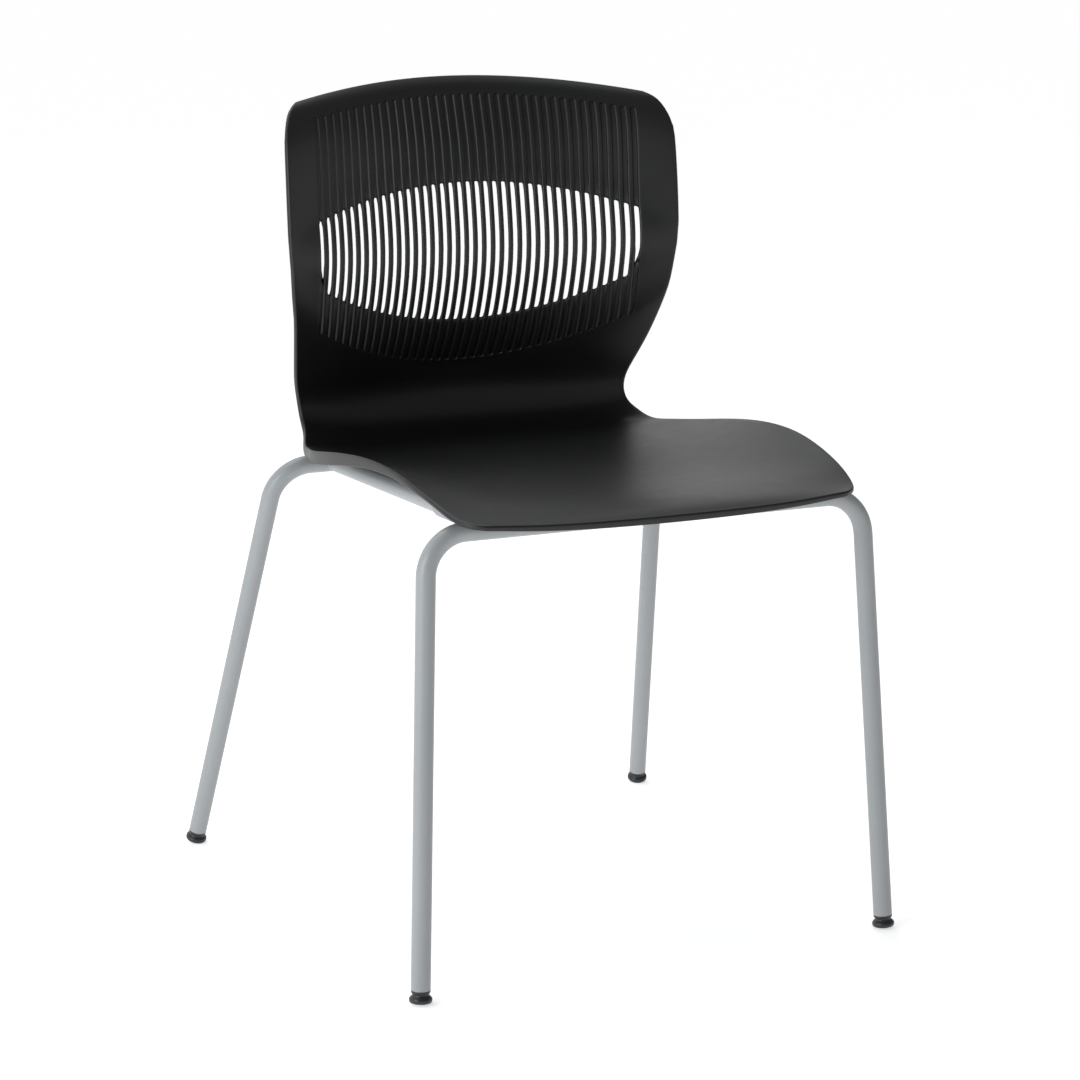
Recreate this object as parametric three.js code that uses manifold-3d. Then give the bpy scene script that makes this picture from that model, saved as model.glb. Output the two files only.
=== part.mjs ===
// Stacking chair: one-piece moulded shell on a bent-tube frame with four legs.
// Millimetres, +Z up, +X across the chair, the sitter faces -Y.
// Origin: on the floor, below the middle of the chair's outer box.
import * as THREE from 'three';
import { mergeVertices } from 'three/addons/utils/BufferGeometryUtils.js';
import Module from 'manifold-3d';

const wasm = await Module();
wasm.setup();

// ---------------------------------------------------------------- driving dimensions

const GAP = 0.3;                       // air left between pieces that touch

const TUBE_RADIUS = 9.525;             // 3/4 inch tube
const TUBE_WALL = 1.5;
const TUBE_SIDES = 18;
const BEND_RADIUS = 42;                // centre line of the leg bends
const BEND_STEPS = 7;

// Each leg pair is one tube: half spacing and depth where it would meet the floor line of its ends,
// and how far it leans in and back for each millimetre of height.
const FRONT = { halfWidth: 257.2, y: -282.2, leanIn: 0.0475, leanBack: 0.0598, barHeight: 448.6 };
const REAR = { halfWidth: 275.3, y: 295.1, leanIn: 0.1159, leanBack: -0.3156, barHeight: 443.1 };
const LEAN_FROM = 13;                  // height at which halfWidth and y are measured

const RAIL_X = 160;                    // side rails, centre line
const RAIL_SIDES = 16;

const GLIDE_LENGTH = 13.9;             // below the end of the tube
const GLIDE_RIM = 11.4;
const GLIDE_DOME = 30.6;               // radius of the domed foot
const GLIDE_STEM = 16;                 // part pushed up into the tube
const GLIDE_SIDES = 24;

const SHELL_SKIN = 4;
const RIM_WALL = 4;                    // wall of the turned-down rim
const LIP_EXTRA = 2;                   // how much deeper the rim is at the middle of the front lip
const FLUTE_PITCH = 10.15;
const FLUTE_WIDTH = 5.5;
const FLUTE_DEPTH = 2.2;
const FLUTE_COUNT = 37;                // through slots in the lumbar window, blind above and below it

const TAB_X = 137;                     // screw positions, across and along the chair
const TAB_FRONT_Y = -199;
const TAB_REAR_Y = 91;
const TAB_TOP = 452;
const TAB_THICK = 3;
const TAB_LENGTH = 30;
const TAB_REACH = 30;                  // from the rail's side towards the middle
const SCREW_RADIUS = 2.5;
const SCREW_HEAD = 5.2;
const BOSS_RADIUS = 8;
const PILOT_RADIUS = 2.8;
const PILOT_COVER = 2.2;               // plastic left over the end of a pilot hole

const BUMPER_Y = -140;
const BUMPER_LENGTH = 34;
const BUMPER_WALL = 2;

// ---------------------------------------------------------------- materials

const blackPlastic = () => new THREE.MeshStandardMaterial({ color: 0x1a1a1c, roughness: 0.55 });
const greyPaint = () => new THREE.MeshStandardMaterial({ color: 0xa3a7a9, roughness: 0.42, metalness: 0.35 });
const zincSteel = () => new THREE.MeshStandardMaterial({ color: 0xb9bbbd, roughness: 0.35, metalness: 0.9 });
const glideNylon = () => new THREE.MeshStandardMaterial({ color: 0x101011, roughness: 0.45 });
const bumperPlastic = () => new THREE.MeshStandardMaterial({ color: 0x8f9395, roughness: 0.6 });

// ---------------------------------------------------------------- solids

// Closed three.js geometry -> manifold solid, and back.
function toSolid(geometry) {
  const bare = geometry.clone();
  bare.deleteAttribute('normal');
  bare.deleteAttribute('uv');
  const merged = mergeVertices(bare, 1e-4);
  const mesh = new wasm.Mesh({
    numProp: 3,
    vertProperties: new Float32Array(merged.attributes.position.array),
    triVerts: new Uint32Array(merged.index.array),
  });
  return new wasm.Manifold(mesh);
}

function toGeometry(solid) {
  const mesh = solid.getMesh();
  const geometry = new THREE.BufferGeometry();
  geometry.setAttribute('position', new THREE.BufferAttribute(new Float32Array(mesh.vertProperties), 3));
  geometry.setIndex(new THREE.BufferAttribute(new Uint32Array(mesh.triVerts), 1));
  geometry.computeVertexNormals();
  return geometry;
}

function named(name, geometry, material) {
  const mesh = new THREE.Mesh(geometry, material);
  mesh.name = name;
  return mesh;
}

// ---------------------------------------------------------------- bent tubes

// A route through given points; each section stands square to the route there.
class Route extends THREE.Curve {
  constructor(points) {
    super();
    this.points = points;
  }

  getPoint(t, target = new THREE.Vector3()) {
    const last = this.points.length - 1;
    const place = Math.min(Math.max(t, 0), 1) * last;
    const i = Math.min(Math.floor(place), last - 1);
    return target.copy(this.points[i]).lerp(this.points[i + 1], place - i);
  }

  getPointAt(t, target) {
    return this.getPoint(t, target);
  }

  getTangentAt(t, target = new THREE.Vector3()) {
    const last = this.points.length - 1;
    const i = Math.round(t * last);
    const before = this.points[Math.max(i - 1, 0)];
    const after = this.points[Math.min(i + 1, last)];
    const here = this.points[i];
    const comingIn = here.clone().sub(before).normalize();
    const goingOut = after.clone().sub(here).normalize();
    return target.copy(comingIn).add(goingOut).normalize();
  }
}

function tubeAlong(points, sides) {
  const section = new THREE.Shape();
  section.absarc(0, 0, TUBE_RADIUS, 0, 2 * Math.PI);
  const bore = new THREE.Path();
  bore.absarc(0, 0, TUBE_RADIUS - TUBE_WALL, 0, 2 * Math.PI, true);
  section.holes.push(bore);
  return new THREE.ExtrudeGeometry(section, {
    steps: points.length - 1,
    curveSegments: sides / 2,         // an arc is given two segments for each
    extrudePath: new Route(points),
  });
}

// Direction of a leg going up, and how far it leans from upright.
function legDirection(pair, side) {
  return new THREE.Vector3(-side * pair.leanIn, pair.leanBack, 1).normalize();
}

// Height of the tube's end that puts the domed glide on the floor.
function tubeEndHeight(pair) {
  return GLIDE_DOME - (GLIDE_DOME - GLIDE_LENGTH) * legDirection(pair, 1).z;
}

function tubeEnd(pair, side) {
  const z = tubeEndHeight(pair);
  const up = z - LEAN_FROM;
  return new THREE.Vector3(side * (pair.halfWidth - pair.leanIn * up), pair.y + pair.leanBack * up, z);
}

function barCorner(pair, side) {
  const end = tubeEnd(pair, side);
  const direction = legDirection(pair, side);
  return end.addScaledVector(direction, (pair.barHeight - end.z) / direction.z);
}

// Leg up, bend, bar across, bend, leg down: one inverted U.
function legPairTube(pair) {
  const bendAt = (side) => {
    const corner = barCorner(pair, side);
    const down = legDirection(pair, side).negate();
    const across = new THREE.Vector3(-side, 0, 0);
    const turn = Math.PI - down.angleTo(across);
    const back = BEND_RADIUS * Math.tan(turn / 2);
    const start = corner.clone().addScaledVector(down, back);
    const end = corner.clone().addScaledVector(across, back);
    const toCentre = across.clone().addScaledVector(down, -across.dot(down)).normalize();
    const centre = start.clone().addScaledVector(toCentre, BEND_RADIUS);
    const from = start.clone().sub(centre);
    const axis = from.clone().cross(end.clone().sub(centre)).normalize();
    const arc = [];
    for (let i = 0; i <= BEND_STEPS; i += 1) {
      arc.push(from.clone().applyAxisAngle(axis, (turn * i) / BEND_STEPS).add(centre));
    }
    return arc;
  };
  return [tubeEnd(pair, -1), ...bendAt(-1), ...bendAt(1).reverse(), tubeEnd(pair, 1)];
}

// A rail runs from bar to bar, its ends cut to fit round them.
function sideRail(side) {
  const front = barCorner(FRONT, side);
  const rear = barCorner(REAR, side);
  const from = new THREE.Vector3(side * RAIL_X, front.y, front.z);
  const to = new THREE.Vector3(side * RAIL_X, rear.y, rear.z);
  const bar = (at) => {
    const cutter = new THREE.CylinderGeometry(TUBE_RADIUS + GAP, TUBE_RADIUS + GAP, 6 * TUBE_RADIUS, 28);
    cutter.rotateZ(Math.PI / 2);
    cutter.translate(at.x, at.y, at.z);
    return toSolid(cutter);
  };
  const rail = toSolid(tubeAlong([from, to], RAIL_SIDES)).subtract(bar(from)).subtract(bar(to));
  return toGeometry(rail.decompose().reduce((a, b) => (b.volume() > a.volume() ? b : a)));
}

function railHeight(y) {
  const front = barCorner(FRONT, 1);
  const rear = barCorner(REAR, 1);
  return THREE.MathUtils.mapLinear(y, front.y, rear.y, front.z, rear.z);
}

// ---------------------------------------------------------------- glides

// Push-in foot: stem, collar, waisted neck, bell, stepped rim and domed sole, turned about the leg.
function glide(pair, side) {
  const bore = TUBE_RADIUS - TUBE_WALL - GAP;
  const domeDrop = (r) => GLIDE_DOME - Math.sqrt(GLIDE_DOME ** 2 - r ** 2);
  const sole = [0, 3.8, 7.6, GLIDE_RIM].map((r) => [r, -GLIDE_LENGTH + domeDrop(r)]);
  const outline = [
    ...sole,
    [GLIDE_RIM, -10.2],
    [10.8, -9.6],
    [9.9, -7.6],
    [8.3, -5.8],
    [7.8, -4.2],
    [8.6, -2.8],
    [9.5, -2.2],
    [9.5, -GAP],
    [bore, -GAP],
    [bore, GLIDE_STEM - 2],
    [bore - 2, GLIDE_STEM],
    [0, GLIDE_STEM],
  ];
  const geometry = new THREE.LatheGeometry(outline.map(([r, h]) => new THREE.Vector2(r, h)), GLIDE_SIDES);
  const mesh = new THREE.Mesh(geometry);
  mesh.quaternion.setFromUnitVectors(new THREE.Vector3(0, 1, 0), legDirection(pair, side));
  mesh.position.copy(tubeEnd(pair, side));
  return mesh;
}

// ---------------------------------------------------------------- shell

// Stations from the front lip, back along the seat, round the bend and up the back.
// centre: y and z on the middle line; edge: x, y and z on the right-hand rim;
// hollow: how flat the middle is before the sides rise; rim: height of the rim.
// The rim hangs straight down along the seat, and stands square to the face from RIM_TURNED on.
const STATIONS = [
  { centre: [-309, 456.5], edge: [190, -300.5, 462], hollow: 3, rim: 5.5 },
  { centre: [-297, 461], edge: [204, -292, 462.5], hollow: 3, rim: 5 },
  { centre: [-279, 464], edge: [214, -277, 465], hollow: 3, rim: 4.5 },
  { centre: [-249, 465], edge: [221, -249, 473.5], hollow: 3, rim: 4.5 },
  { centre: [-209, 464], edge: [225.5, -213, 483], hollow: 3, rim: 5 },
  { centre: [-159, 461.5], edge: [228.5, -161, 493], hollow: 3, rim: 7.5 },
  { centre: [-109, 459.5], edge: [230.5, -109, 496], hollow: 3, rim: 10 },
  { centre: [-59, 458], edge: [231.5, -59, 493.5], hollow: 3, rim: 13 },
  { centre: [-9, 457.5], edge: [231.5, -9, 487.5], hollow: 3, rim: 13.5 },
  { centre: [41, 457], edge: [229, 36, 481], hollow: 3, rim: 13.5 },
  { centre: [91, 457], edge: [221, 75, 474.8], hollow: 3, rim: 13.5 },
  { centre: [131, 457.5], edge: [212, 105, 471], hollow: 2.8, rim: 13 },
  { centre: [163, 459.5], edge: [204, 134, 470.5], hollow: 2.6, rim: 12 },
  { centre: [186, 464], edge: [195.5, 150.5, 479], hollow: 2.4, rim: 10 },
  { centre: [201, 471.5], edge: [191.5, 163.5, 486.5], hollow: 2.3, rim: 7.5 },
  { centre: [210, 482], edge: [190.5, 171, 496.5], hollow: 2.2, rim: 6.5 },
  { centre: [214.5, 494], edge: [193, 171, 509.5], hollow: 2.1, rim: 6 },
  { centre: [215, 508], edge: [198.5, 163.5, 526.5], hollow: 2, rim: 6 },
  { centre: [211, 522], edge: [206, 145, 555.5], hollow: 1.8, rim: 6 },
  { centre: [204, 536], edge: [215, 121, 602], hollow: 1.6, rim: 6 },
  { centre: [188, 560], edge: [218.5, 113.5, 627], hollow: 1.7, rim: 6 },
  { centre: [177, 582.7], edge: [221, 109, 651.5], hollow: 1.8, rim: 6 },
  { centre: [166.3, 612], edge: [222, 108.5, 659.5], hollow: 1.85, rim: 6 },
  { centre: [158.7, 640], edge: [222.5, 107.5, 667], hollow: 1.9, rim: 6 },
  { centre: [156.2, 668], edge: [223, 107.5, 673.5], hollow: 1.95, rim: 6 },
  { centre: [159.9, 700], edge: [223.5, 107, 680], hollow: 2, rim: 6 },
  { centre: [165.3, 733.2], edge: [223.5, 107, 686.5], hollow: 2.05, rim: 6 },
  { centre: [170.8, 765], edge: [224.5, 109.5, 735.5], hollow: 1.9, rim: 6 },
  { centre: [178, 795], edge: [223, 115.5, 774], hollow: 1.8, rim: 6 },
  { centre: [187.2, 824.5], edge: [219.5, 124, 800], hollow: 1.7, rim: 6 },
  { centre: [190.8, 833.5], edge: [212.5, 135.5, 817], hollow: 1.75, rim: 6 },
  { centre: [200, 843], edge: [197, 151, 822.5], hollow: 1.8, rim: 6 },
];
const RIM_HANGING = 10;
const RIM_TURNED = 13;
const BLIND_BOTTOM = 19;               // stations where the flutes and the window begin and end
const WINDOW_BOTTOM = 21;
const WINDOW_TOP = 26;
const BLIND_TOP = 29;
const SMOOTH_COLUMNS = 16;             // facets across the shell away from the flutes

const FLUTES = Array.from({ length: FLUTE_COUNT }, (_, i) => (i - (FLUTE_COUNT - 1) / 2) * FLUTE_PITCH);
const FLUTE_EDGE = FLUTES[FLUTE_COUNT - 1] + FLUTE_WIDTH / 2;

// A station at a fractional index, for slopes and insets.
function stationAt(v) {
  const i = Math.min(Math.max(Math.floor(v), 0), STATIONS.length - 2);
  const t = v - i;
  const a = STATIONS[i];
  const b = STATIONS[i + 1];
  const mix = (p, q) => p + (q - p) * t;
  return {
    centre: a.centre.map((p, k) => mix(p, b.centre[k])),
    edge: a.edge.map((p, k) => mix(p, b.edge[k])),
    hollow: mix(a.hollow, b.hollow),
    rim: mix(a.rim, b.rim),
  };
}

function facePoint(x, v) {
  const { centre, edge, hollow } = stationAt(v);
  const across = Math.abs(x) / edge[0];
  const height = v >= BLIND_BOTTOM ? 2 : hollow;
  return new THREE.Vector3(
    x,
    centre[0] + (edge[1] - centre[0]) * across ** hollow,
    centre[1] + (edge[2] - centre[1]) * across ** height,
  );
}

// Unit normal on the sitter's side.
function faceNormal(x, v) {
  const half = 0.5;
  const low = Math.max(v - half, 0);
  const high = Math.min(v + half, STATIONS.length - 1);
  const scale = (w) => (x / stationAt(v).edge[0]) * stationAt(w).edge[0];
  const along = facePoint(scale(high), high).sub(facePoint(scale(low), low));
  const across = facePoint(x + 1, v).sub(facePoint(x - 1, v));
  return across.cross(along).normalize();
}

// Positions across one row of the sitter's side, or of the hidden side.
function rowColumns(station, hidden) {
  const edge = STATIONS[station].edge[0];
  const fluted = station >= BLIND_BOTTOM && station <= BLIND_TOP;
  const windowed = station >= WINDOW_BOTTOM && station <= WINDOW_TOP;
  if (!fluted || (hidden && !windowed)) {
    return Array.from({ length: SMOOTH_COLUMNS + 1 }, (_, i) => (2 * i / SMOOTH_COLUMNS - 1) * edge);
  }
  const side = [edge, (2 * edge + FLUTE_EDGE) / 3];
  const columns = [-side[0], -side[1]];
  for (const x of FLUTES) {
    columns.push(x - FLUTE_WIDTH / 2);
    if (!hidden) columns.push(x);
    columns.push(x + FLUTE_WIDTH / 2);
  }
  columns.push(side[1], side[0]);
  return columns;
}

// True where flute number k is cut right through between this station and the next.
function isOpen(k, station) {
  const outermost = k === 0 || k === FLUTE_COUNT - 1;
  return station >= WINDOW_BOTTOM + (outermost ? 1 : 0) && station < WINDOW_TOP;
}

function fluteAt(x) {
  return FLUTES.findIndex((f) => Math.abs(f - x) < FLUTE_WIDTH / 2 + 0.01);
}

function shellBody() {
  const points = [];
  const triangles = [];
  const add = (p) => points.push(p) - 1;
  const last = STATIONS.length - 1;

  // The hidden side is drawn in by the rim's wall all round.
  const inset = (x, station) => {
    const { edge } = STATIONS[station];
    const inner = station === 0 ? 0.33 : station === last ? last - 0.45 : station;
    const squeeze = 1 - RIM_WALL / edge[0];
    const drawn = x * squeeze * (stationAt(inner).edge[0] / edge[0]);
    return [Math.abs(x) < FLUTE_EDGE + 1 && station > 0 && station < last ? x : drawn, inner];
  };

  const faceRows = STATIONS.map((_, s) => rowColumns(s, false).map((x) => {
    const p = facePoint(x, s);
    const k = fluteAt(x);
    const grooved = k >= 0 && Math.abs(FLUTES[k] - x) < 0.01 && s > BLIND_BOTTOM && s < BLIND_TOP;
    if (grooved) p.addScaledVector(faceNormal(x, s), -FLUTE_DEPTH);
    return { x, id: add(p) };
  }));
  const hiddenRows = STATIONS.map((_, s) => rowColumns(s, true).map((x) => {
    const [ix, v] = inset(x, s);
    return { x, id: add(facePoint(ix, v).addScaledVector(faceNormal(ix, v), -SHELL_SKIN)) };
  }));

  const face = (a, b, c) => triangles.push(a, b, c);
  const quad = (a, b, c, d) => {
    face(a, b, c);
    face(a, c, d);
  };

  // Joins two neighbouring rows whose columns may differ, leaving out the open slots.
  const joinRows = (low, high, station, flip) => {
    let i = 0;
    let j = 0;
    const put = flip ? (a, b, c) => face(a, c, b) : face;
    while (i < low.length - 1 || j < high.length - 1) {
      const lowNext = i < low.length - 1 ? low[i + 1].x / low[low.length - 1].x : Infinity;
      const highNext = j < high.length - 1 ? high[j + 1].x / high[high.length - 1].x : Infinity;
      const same = low.length === high.length && i === j;
      if (same && i < low.length - 1) {
        const k = fluteAt((low[i].x + low[i + 1].x) / 2);
        if (k < 0 || !isOpen(k, station)) {
          put(low[i].id, low[i + 1].id, high[j + 1].id);
          put(low[i].id, high[j + 1].id, high[j].id);
        }
        i += 1;
        j += 1;
      } else if (lowNext <= highNext) {
        put(low[i].id, low[i + 1].id, high[j].id);
        i += 1;
      } else {
        put(low[i].id, high[j + 1].id, high[j].id);
        j += 1;
      }
    }
  };
  for (let s = 0; s < last; s += 1) {
    joinRows(faceRows[s], faceRows[s + 1], s, false);
    joinRows(hiddenRows[s], hiddenRows[s + 1], s, true);
  }

  // Walls of the slots.
  const at = (row, x) => row.find((p) => Math.abs(p.x - x) < 0.01).id;
  FLUTES.forEach((x, k) => {
    const left = x - FLUTE_WIDTH / 2;
    const right = x + FLUTE_WIDTH / 2;
    for (let s = WINDOW_BOTTOM; s < WINDOW_TOP; s += 1) {
      if (!isOpen(k, s)) continue;
      const [f0, f1, h0, h1] = [faceRows[s], faceRows[s + 1], hiddenRows[s], hiddenRows[s + 1]];
      quad(at(f1, left), at(f0, left), at(h0, left), at(h1, left));
      quad(at(f0, right), at(f1, right), at(h1, right), at(h0, right));
      if (!isOpen(k, s - 1)) {
        quad(at(f0, left), at(f0, x), at(h0, right), at(h0, left));
        face(at(f0, x), at(f0, right), at(h0, right));
      }
      if (!isOpen(k, s + 1)) {
        quad(at(f1, x), at(f1, left), at(h1, left), at(h1, right));
        face(at(f1, right), at(f1, x), at(h1, right));
      }
    }
  });

  // Rim: round the outline, down its outer wall, across its foot and up its inner wall.
  const outline = [];
  faceRows[0].forEach((p, i) => outline.push([p, hiddenRows[0][i], 0]));
  for (let s = 1; s < last; s += 1) outline.push([faceRows[s].at(-1), hiddenRows[s].at(-1), s]);
  [...faceRows[last].keys()].reverse().forEach((i) => {
    outline.push([faceRows[last][i], hiddenRows[last][i], last]);
  });
  for (let s = last - 1; s > 0; s -= 1) outline.push([faceRows[s][0], hiddenRows[s][0], s]);
  const rimLoops = outline.map(([f, h, s]) => {
    const turned = THREE.MathUtils.clamp((s - RIM_HANGING) / (RIM_TURNED - RIM_HANGING), 0, 1);
    const down = new THREE.Vector3(0, 0, -1).lerp(faceNormal(f.x, s).negate(), turned).normalize();
    const lip = s === 0 ? LIP_EXTRA * (1 - (f.x / STATIONS[0].edge[0]) ** 2) : 0;
    const depth = STATIONS[s].rim + lip;
    const outer = points[f.id].clone().addScaledVector(down, depth);
    const inner = outer.clone().add(points[h.id]).sub(points[f.id]);
    inner.addScaledVector(down, -SHELL_SKIN);
    return [f.id, add(outer), add(inner), h.id];
  });
  rimLoops.forEach((loop, i) => {
    const next = rimLoops[(i + 1) % rimLoops.length];
    for (let r = 0; r < 3; r += 1) quad(loop[r], loop[r + 1], next[r + 1], next[r]);
  });

  const geometry = new THREE.BufferGeometry();
  geometry.setAttribute('position', new THREE.Float32BufferAttribute(points.flatMap((p) => p.toArray()), 3));
  geometry.setIndex(triangles);
  return geometry;
}

const SCREW_PLACES = [
  ['front_left', -1, TAB_FRONT_Y],
  ['front_right', 1, TAB_FRONT_Y],
  ['rear_left', -1, TAB_REAR_Y],
  ['rear_right', 1, TAB_REAR_Y],
];

function uprightCylinder(radius, low, high, x, y, sides) {
  const geometry = new THREE.CylinderGeometry(radius, radius, high - low, sides);
  geometry.rotateX(Math.PI / 2);
  geometry.translate(x, y, (low + high) / 2);
  return geometry;
}

// Height of the seat's upper face over a point of the plan.
function seatHeight(x, y) {
  let v = 0;
  while (facePoint(x, v).y < y) v += 0.02;
  return facePoint(x, v).z;
}

function pilotTop(y) {
  return seatHeight(TAB_X, y) - PILOT_COVER;
}

// The shell with a screw boss over each mounting tab.
function shell() {
  let solid = toSolid(shellBody());
  for (const [, side, y] of SCREW_PLACES) {
    const bossTop = seatHeight(TAB_X, y) - SHELL_SKIN / 2;
    const boss = uprightCylinder(BOSS_RADIUS, TAB_TOP + GAP, bossTop, side * TAB_X, y, 20);
    const pilot = uprightCylinder(PILOT_RADIUS, TAB_TOP - 1, pilotTop(y), side * TAB_X, y, 12);
    solid = solid.add(toSolid(boss)).subtract(toSolid(pilot));
  }
  return toGeometry(solid);
}

// ---------------------------------------------------------------- tabs, screws, bumpers

// Welded plate with a screw hole, butted against the rail's inner side.
function mountingTab(side, y) {
  const rise = TAB_TOP - TAB_THICK / 2 - railHeight(y);
  const weldX = RAIL_X - Math.sqrt(TUBE_RADIUS ** 2 - Math.max(Math.abs(rise) - TAB_THICK / 2, 0) ** 2) - GAP;
  const plate = new THREE.Shape();
  const inner = weldX - TAB_REACH;
  const corner = 6;
  plate.moveTo(weldX, -TAB_LENGTH / 2);
  plate.lineTo(weldX, TAB_LENGTH / 2);
  plate.lineTo(inner + corner, TAB_LENGTH / 2);
  plate.absarc(inner + corner, TAB_LENGTH / 2 - corner, corner, Math.PI / 2, Math.PI);
  plate.absarc(inner + corner, -TAB_LENGTH / 2 + corner, corner, Math.PI, 1.5 * Math.PI);
  plate.closePath();
  const hole = new THREE.Path();
  hole.absarc(TAB_X, 0, SCREW_RADIUS + 0.7, 0, 2 * Math.PI, true);
  plate.holes.push(hole);
  const geometry = new THREE.ExtrudeGeometry(plate, { depth: TAB_THICK, bevelEnabled: false, curveSegments: 4 });
  geometry.translate(0, y, TAB_TOP - TAB_THICK);
  if (side < 0) geometry.applyMatrix4(new THREE.Matrix4().makeRotationZ(Math.PI).setPosition(0, 2 * y, 0));
  return geometry;
}

// Pan-head screw, driven up through the tab into the boss.
function screw(y) {
  const headHeight = 3.2;
  const reach = pilotTop(y) - TAB_TOP + TAB_THICK - 0.8;
  const outline = [
    [0, -headHeight],
    [2.6, -headHeight + 0.1],
    [4.4, -headHeight + 0.9],
    [SCREW_HEAD, -1.2],
    [SCREW_HEAD, -GAP],
    [SCREW_RADIUS, -GAP],
    [SCREW_RADIUS, reach - 1],
    [SCREW_RADIUS - 0.9, reach],
    [0, reach],
  ];
  const geometry = new THREE.LatheGeometry(outline.map(([r, h]) => new THREE.Vector2(r, h)), 16);
  geometry.rotateX(Math.PI / 2);
  return geometry;
}

// Moulded saddle clipped under a side rail, where the next chair down the stack takes the load.
function bumper() {
  const inner = TUBE_RADIUS + GAP;
  const outer = inner + BUMPER_WALL;
  const wrap = THREE.MathUtils.degToRad(95);
  const section = new THREE.Shape();
  const low = -Math.PI / 2;
  section.absarc(0, 0, outer, low - wrap, low + wrap);
  section.absarc(0, 0, inner, low + wrap, low - wrap, true);
  section.closePath();
  const geometry = new THREE.ExtrudeGeometry(section, {
    depth: BUMPER_LENGTH,
    bevelEnabled: false,
    curveSegments: 12,
  });
  geometry.translate(0, 0, -BUMPER_LENGTH / 2);
  geometry.rotateX(Math.PI / 2);
  return geometry;
}

// ---------------------------------------------------------------- assembly

const chair = new THREE.Group();

chair.add(named('seat_back_shell', shell(), blackPlastic()));
chair.add(named('front_leg_tube', tubeAlong(legPairTube(FRONT), TUBE_SIDES), greyPaint()));
chair.add(named('rear_leg_tube', tubeAlong(legPairTube(REAR), TUBE_SIDES), greyPaint()));

const SIDES = { left: -1, right: 1 };
for (const [word, side] of Object.entries(SIDES)) {
  chair.add(named(`side_rail_${word}`, sideRail(side), greyPaint()));
  for (const [place, pair] of [['front', FRONT], ['rear', REAR]]) {
    const foot = glide(pair, side);
    foot.name = `glide_${place}_${word}`;
    foot.material = glideNylon();
    chair.add(foot);
  }
  const rise = barCorner(REAR, 1).z - barCorner(FRONT, 1).z;
  const run = barCorner(REAR, 1).y - barCorner(FRONT, 1).y;
  const pad = named(`stacking_bumper_${word}`, bumper(), bumperPlastic());
  pad.position.set(side * RAIL_X, BUMPER_Y, railHeight(BUMPER_Y));
  pad.rotation.x = Math.atan2(rise, run);
  chair.add(pad);
}

for (const [place, side, y] of SCREW_PLACES) {
  chair.add(named(`mounting_tab_${place}`, mountingTab(side, y), greyPaint()));
  const fastener = named(`shell_screw_${place}`, screw(y), zincSteel());
  fastener.position.set(side * TAB_X, y, TAB_TOP - TAB_THICK);
  chair.add(fastener);
}

export default chair;
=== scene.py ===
import math

import bmesh
import bpy
from mathutils import Matrix, Vector


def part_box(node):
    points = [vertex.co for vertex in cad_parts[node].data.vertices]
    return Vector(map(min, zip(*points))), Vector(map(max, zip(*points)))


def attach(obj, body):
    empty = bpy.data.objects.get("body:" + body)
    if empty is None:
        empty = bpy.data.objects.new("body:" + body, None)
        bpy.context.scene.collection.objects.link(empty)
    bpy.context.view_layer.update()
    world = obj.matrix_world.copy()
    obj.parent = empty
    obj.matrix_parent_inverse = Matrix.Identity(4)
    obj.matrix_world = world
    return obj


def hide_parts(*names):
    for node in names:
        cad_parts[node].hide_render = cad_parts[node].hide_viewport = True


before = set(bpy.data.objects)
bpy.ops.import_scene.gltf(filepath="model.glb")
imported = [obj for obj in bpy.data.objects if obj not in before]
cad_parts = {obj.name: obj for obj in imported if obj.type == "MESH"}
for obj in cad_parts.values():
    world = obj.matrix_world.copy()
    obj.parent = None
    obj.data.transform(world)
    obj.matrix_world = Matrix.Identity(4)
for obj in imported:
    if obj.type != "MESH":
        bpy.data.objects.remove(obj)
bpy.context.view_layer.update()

MM = 0.001
UP = Vector((0, 0, 1))

# ------------------------------------------------------------ sizes, in millimetres

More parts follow.
